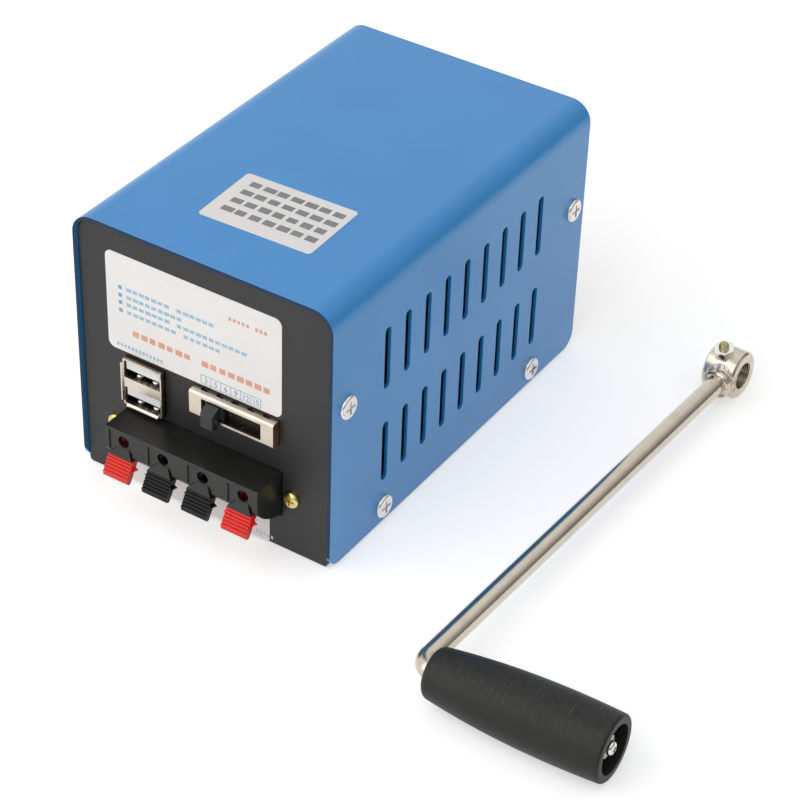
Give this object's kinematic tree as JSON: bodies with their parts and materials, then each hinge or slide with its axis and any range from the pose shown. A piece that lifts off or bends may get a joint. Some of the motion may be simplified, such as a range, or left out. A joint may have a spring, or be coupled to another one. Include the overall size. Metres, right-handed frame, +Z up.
{
  "type": "hand crank generator",
  "caption": "Small electric generator in a folded sheet-metal case with sockets and press terminals on the front, its shaft at the back and a loose crank with a turning grip.",
  "frame": {"origin": "Centre of the case's bottom face, on the surface that it stands on.", "axes": "X to the right along the front panel, Y from the front panel to the rear panel and out along the input shaft, Z up."},
  "size_m": [0.1909, 0.185, 0.0861],
  "materials": {
    "blue_paint": "satin powder coat",
    "black_paint": "fine matt powder coat",
    "bright_steel": "nickel plated",
    "yellow_zinc": "yellow zinc plating",
    "sticker": "blank printed film",
    "socket_nickel": "tin plated",
    "white_plastic": "moulded",
    "contact_gold": "plated",
    "switch_nickel": "nickel plated",
    "brown_laminate": "phenolic laminate",
    "black_plastic": "moulded",
    "red_plastic": "moulded",
    "board_green": "solder resist",
    "zinc_plate": "zinc plated",
    "capacitor_sleeve": "shrunk sleeve",
    "copper": "enamelled wire",
    "aluminium": "extruded",
    "wire_red": "insulation",
    "bronze": "sintered",
    "gear_steel": "hobbed",
    "gear_nylon": "moulded",
    "motor_steel": "drawn",
    "ferrite": "sintered",
    "core_steel": "stacked sheet",
    "carbon": "pressed",
    "crank_nickel": "nickel plated, drawn",
    "grip_plastic": "moulded"
  },
  "bodies": {
    "generator": {"cover": "blue_paint", "chassis": "black_paint", "cover_screws": "bright_steel", "front_stickers": "sticker", "top_sticker": "sticker", "usb_shell": "socket_nickel", "usb_insulator": "white_plastic", "usb_contacts": "contact_gold", "switch_frame": "switch_nickel", "switch_body": "brown_laminate", "switch_pins": "contact_gold", "terminal_housing": "black_plastic", "terminal_contacts": "contact_gold", "terminal_screws": "yellow_zinc", "lever_pin": "bright_steel", "circuit_board": "board_green", "board_standoffs": "bronze", "board_screws": "bright_steel", "capacitors": "capacitor_sleeve", "coil": "copper", "bridge_rectifier": "black_plastic", "regulator": "black_plastic", "heatsink": "aluminium", "board_leads": "wire_red", "front_gear_plate": "zinc_plate", "rear_gear_plate": "zinc_plate", "gearbox_pillars": "zinc_plate", "rear_spacers": "aluminium", "gearbox_screws": "bright_steel", "gear_bushes": "bronze", "rear_bearing": "bronze", "rear_bearing_nut": "bright_steel", "motor_can": "motor_steel", "motor_end_cap": "black_plastic", "motor_bearings": "bronze", "motor_magnets": "ferrite", "motor_brushes": "carbon"},
    "input_shaft": {"drive_shaft": "gear_steel", "drive_gear": "gear_nylon", "drive_collars": "gear_steel"},
    "idler": {"idler_shaft": "gear_steel", "idler_pinion": "gear_steel", "idler_gear": "gear_nylon"},
    "rotor": {"rotor_shaft": "gear_steel", "rotor_core": "core_steel", "rotor_windings": "copper", "rotor_commutator": "copper", "motor_pinion": "bronze"},
    "slider": {"switch_slider": "black_plastic"},
    "lever_1": {"terminal_lever_1": "red_plastic"},
    "lever_2": {"terminal_lever_2": "black_plastic"},
    "lever_3": {"terminal_lever_3": "black_plastic"},
    "lever_4": {"terminal_lever_4": "red_plastic"},
    "crank": {"crank_hub": "crank_nickel", "crank_rod": "crank_nickel", "crank_set_screw": "crank_nickel", "crank_lock_nut": "crank_nickel", "grip_washer": "bright_steel", "grip_screw": "bright_steel"},
    "grip": {"crank_grip": "grip_plastic"}
  },
  "joints": [
    {"name": "input_spin", "type": "hinge", "parent": "generator", "child": "input_shaft", "pos_m": [0, 0.044, 0.043], "axis": [0, 1, 0], "continuous": true},
    {"name": "idler_spin", "type": "hinge", "parent": "generator", "child": "idler", "pos_m": [-0.024, 0.044, 0.025], "axis": [0, 1, 0], "continuous": true},
    {"name": "rotor_spin", "type": "hinge", "parent": "generator", "child": "rotor", "pos_m": [-0.006, -0.0099, 0.025], "axis": [0, 1, 0], "continuous": true},
    {"name": "switch_slide", "type": "slide", "parent": "generator", "child": "slider", "axis": [1, 0, 0], "range_m": [0, 0.01225]},
    {"name": "lever_1_press", "type": "hinge", "parent": "generator", "child": "lever_1", "pos_m": [-0.02048, -0.0709, 0.0174], "axis": [1, 0, 0], "range_deg": [0, 16], "stiffness_Nm_per_rad": 0.05, "springref_deg": -5.73},
    {"name": "lever_2_press", "type": "hinge", "parent": "generator", "child": "lever_2", "pos_m": [-0.00683, -0.0709, 0.0174], "axis": [1, 0, 0], "range_deg": [0, 16], "stiffness_Nm_per_rad": 0.05, "springref_deg": -5.73},
    {"name": "lever_3_press", "type": "hinge", "parent": "generator", "child": "lever_3", "pos_m": [0.00683, -0.0709, 0.0174], "axis": [1, 0, 0], "range_deg": [0, 16], "stiffness_Nm_per_rad": 0.05, "springref_deg": -5.73},
    {"name": "lever_4_press", "type": "hinge", "parent": "generator", "child": "lever_4", "pos_m": [0.02048, -0.0709, 0.0174], "axis": [1, 0, 0], "range_deg": [0, 16], "stiffness_Nm_per_rad": 0.05, "springref_deg": -5.73},
    {"name": "crank_lift", "type": "slide", "parent": "generator", "child": "crank", "axis": [0, 0, 1], "range_m": [0, 0.12]},
    {"name": "grip_spin", "type": "hinge", "parent": "crank", "child": "grip", "pos_m": [0.09281, -0.09193, 0.00933], "axis": [0.9995, 0.0281, 0.0151], "continuous": true}
  ],
  "couplings": [
    {"joint": "idler_spin", "follows": "input_spin", "ratio": -4},
    {"joint": "rotor_spin", "follows": "input_spin", "ratio": 12}
  ]
}
